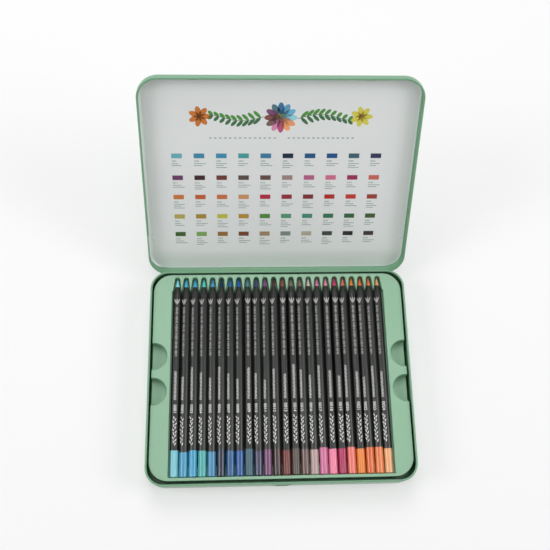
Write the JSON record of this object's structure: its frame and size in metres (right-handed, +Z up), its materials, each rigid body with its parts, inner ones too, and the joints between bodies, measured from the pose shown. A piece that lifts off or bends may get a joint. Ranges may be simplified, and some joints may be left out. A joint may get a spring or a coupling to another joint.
{
  "type": "colored pencil box",
  "caption": "Hinged mint tinplate box, lid open, with stacked lift-out formed trays of black hexagonal colouring pencils lying in slots, finger notches at the tray sides.",
  "frame": {"origin": "middle of the base's flat underside", "axes": "+Z up, +Y from the front wall to the hinges, +X to the right seen from the front"},
  "size_m": [0.2366, 0.3102, 0.1717],
  "materials": {
    "tin": "satin mint enamel",
    "pin_steel": "bright wire",
    "tray": "satin formed sheet",
    "barrel": "black lacquer on dyed wood",
    "lower_leads": "wax lead",
    "lead_01": "ice blue wax lead",
    "lead_02": "mid blue wax lead",
    "lead_03": "sky blue wax lead",
    "lead_04": "turquoise wax lead",
    "lead_05": "steel blue wax lead",
    "lead_06": "navy wax lead",
    "lead_07": "blue wax lead",
    "lead_08": "royal blue wax lead",
    "lead_09": "grey teal wax lead",
    "lead_10": "indigo wax lead",
    "lead_11": "purple wax lead",
    "lead_12": "burgundy wax lead",
    "lead_13": "brick wax lead",
    "lead_14": "umber wax lead",
    "lead_15": "mauve brown wax lead",
    "lead_16": "taupe pink wax lead",
    "lead_17": "orchid wax lead",
    "lead_18": "pink wax lead",
    "lead_19": "raspberry wax lead",
    "lead_20": "salmon wax lead",
    "lead_21": "orange wax lead",
    "lead_22": "dark orange wax lead",
    "lead_23": "light orange wax lead",
    "lead_24": "peach wax lead"
  },
  "bodies": {
    "base": {"base_shell": "tin", "base_hinge_leaf_left": "tin", "base_hinge_leaf_right": "tin", "hinge_pins": "pin_steel"},
    "lid": {"lid_shell": "tin", "lid_hinge_leaf_left": "tin", "lid_hinge_leaf_right": "tin"},
    "lower_tray": {"lower_tray": "tray", "lower_pencil_casings": "barrel", "lower_pencil_cores": "lower_leads"},
    "upper_tray": {"upper_tray": "tray"},
    "pencil_01": {"upper_pencil_01_casing": "barrel", "upper_pencil_01_core": "lead_01"},
    "pencil_02": {"upper_pencil_02_casing": "barrel", "upper_pencil_02_core": "lead_02"},
    "pencil_03": {"upper_pencil_03_casing": "barrel", "upper_pencil_03_core": "lead_03"},
    "pencil_04": {"upper_pencil_04_casing": "barrel", "upper_pencil_04_core": "lead_04"},
    "pencil_05": {"upper_pencil_05_casing": "barrel", "upper_pencil_05_core": "lead_05"},
    "pencil_06": {"upper_pencil_06_casing": "barrel", "upper_pencil_06_core": "lead_06"},
    "pencil_07": {"upper_pencil_07_casing": "barrel", "upper_pencil_07_core": "lead_07"},
    "pencil_08": {"upper_pencil_08_casing": "barrel", "upper_pencil_08_core": "lead_08"},
    "pencil_09": {"upper_pencil_09_casing": "barrel", "upper_pencil_09_core": "lead_09"},
    "pencil_10": {"upper_pencil_10_casing": "barrel", "upper_pencil_10_core": "lead_10"},
    "pencil_11": {"upper_pencil_11_casing": "barrel", "upper_pencil_11_core": "lead_11"},
    "pencil_12": {"upper_pencil_12_casing": "barrel", "upper_pencil_12_core": "lead_12"},
    "pencil_13": {"upper_pencil_13_casing": "barrel", "upper_pencil_13_core": "lead_13"},
    "pencil_14": {"upper_pencil_14_casing": "barrel", "upper_pencil_14_core": "lead_14"},
    "pencil_15": {"upper_pencil_15_casing": "barrel", "upper_pencil_15_core": "lead_15"},
    "pencil_16": {"upper_pencil_16_casing": "barrel", "upper_pencil_16_core": "lead_16"},
    "pencil_17": {"upper_pencil_17_casing": "barrel", "upper_pencil_17_core": "lead_17"},
    "pencil_18": {"upper_pencil_18_casing": "barrel", "upper_pencil_18_core": "lead_18"},
    "pencil_19": {"upper_pencil_19_casing": "barrel", "upper_pencil_19_core": "lead_19"},
    "pencil_20": {"upper_pencil_20_casing": "barrel", "upper_pencil_20_core": "lead_20"},
    "pencil_21": {"upper_pencil_21_casing": "barrel", "upper_pencil_21_core": "lead_21"},
    "pencil_22": {"upper_pencil_22_casing": "barrel", "upper_pencil_22_core": "lead_22"},
    "pencil_23": {"upper_pencil_23_casing": "barrel", "upper_pencil_23_core": "lead_23"},
    "pencil_24": {"upper_pencil_24_casing": "barrel", "upper_pencil_24_core": "lead_24"}
  },
  "joints": [
    {"name": "lid_hinge", "type": "hinge", "parent": "base", "child": "lid", "pos_m": [0, 0.09555, 0.01758], "axis": [-1, 0, 0], "range_deg": [-126, 0]},
    {"name": "lift_lower_tray", "type": "slide", "parent": "base", "child": "lower_tray", "axis": [0, 0, 1], "range_m": [0, 0.045]},
    {"name": "lift_upper_tray", "type": "slide", "parent": "lower_tray", "child": "upper_tray", "axis": [0, 0, 1], "range_m": [0, 0.045]},
    {"name": "pencil_lift_01", "type": "slide", "parent": "upper_tray", "child": "pencil_01", "axis": [0, 0, 1], "range_m": [0, 0.03]},
    {"name": "pencil_lift_02", "type": "slide", "parent": "upper_tray", "child": "pencil_02", "axis": [0, 0, 1], "range_m": [0, 0.03]},
    {"name": "pencil_lift_03", "type": "slide", "parent": "upper_tray", "child": "pencil_03", "axis": [0, 0, 1], "range_m": [0, 0.03]},
    {"name": "pencil_lift_04", "type": "slide", "parent": "upper_tray", "child": "pencil_04", "axis": [0, 0, 1], "range_m": [0, 0.03]},
    {"name": "pencil_lift_05", "type": "slide", "parent": "upper_tray", "child": "pencil_05", "axis": [0, 0, 1], "range_m": [0, 0.03]},
    {"name": "pencil_lift_06", "type": "slide", "parent": "upper_tray", "child": "pencil_06", "axis": [0, 0, 1], "range_m": [0, 0.03]},
    {"name": "pencil_lift_07", "type": "slide", "parent": "upper_tray", "child": "pencil_07", "axis": [0, 0, 1], "range_m": [0, 0.03]},
    {"name": "pencil_lift_08", "type": "slide", "parent": "upper_tray", "child": "pencil_08", "axis": [0, 0, 1], "range_m": [0, 0.03]},
    {"name": "pencil_lift_09", "type": "slide", "parent": "upper_tray", "child": "pencil_09", "axis": [0, 0, 1], "range_m": [0, 0.03]},
    {"name": "pencil_lift_10", "type": "slide", "parent": "upper_tray", "child": "pencil_10", "axis": [0, 0, 1], "range_m": [0, 0.03]},
    {"name": "pencil_lift_11", "type": "slide", "parent": "upper_tray", "child": "pencil_11", "axis": [0, 0, 1], "range_m": [0, 0.03]},
    {"name": "pencil_lift_12", "type": "slide", "parent": "upper_tray", "child": "pencil_12", "axis": [0, 0, 1], "range_m": [0, 0.03]},
    {"name": "pencil_lift_13", "type": "slide", "parent": "upper_tray", "child": "pencil_13", "axis": [0, 0, 1], "range_m": [0, 0.03]},
    {"name": "pencil_lift_14", "type": "slide", "parent": "upper_tray", "child": "pencil_14", "axis": [0, 0, 1], "range_m": [0, 0.03]},
    {"name": "pencil_lift_15", "type": "slide", "parent": "upper_tray", "child": "pencil_15", "axis": [0, 0, 1], "range_m": [0, 0.03]},
    {"name": "pencil_lift_16", "type": "slide", "parent": "upper_tray", "child": "pencil_16", "axis": [0, 0, 1], "range_m": [0, 0.03]},
    {"name": "pencil_lift_17", "type": "slide", "parent": "upper_tray", "child": "pencil_17", "axis": [0, 0, 1], "range_m": [0, 0.03]},
    {"name": "pencil_lift_18", "type": "slide", "parent": "upper_tray", "child": "pencil_18", "axis": [0, 0, 1], "range_m": [0, 0.03]},
    {"name": "pencil_lift_19", "type": "slide", "parent": "upper_tray", "child": "pencil_19", "axis": [0, 0, 1], "range_m": [0, 0.03]},
    {"name": "pencil_lift_20", "type": "slide", "parent": "upper_tray", "child": "pencil_20", "axis": [0, 0, 1], "range_m": [0, 0.03]},
    {"name": "pencil_lift_21", "type": "slide", "parent": "upper_tray", "child": "pencil_21", "axis": [0, 0, 1], "range_m": [0, 0.03]},
    {"name": "pencil_lift_22", "type": "slide", "parent": "upper_tray", "child": "pencil_22", "axis": [0, 0, 1], "range_m": [0, 0.03]},
    {"name": "pencil_lift_23", "type": "slide", "parent": "upper_tray", "child": "pencil_23", "axis": [0, 0, 1], "range_m": [0, 0.03]},
    {"name": "pencil_lift_24", "type": "slide", "parent": "upper_tray", "child": "pencil_24", "axis": [0, 0, 1], "range_m": [0, 0.03]}
  ]
}
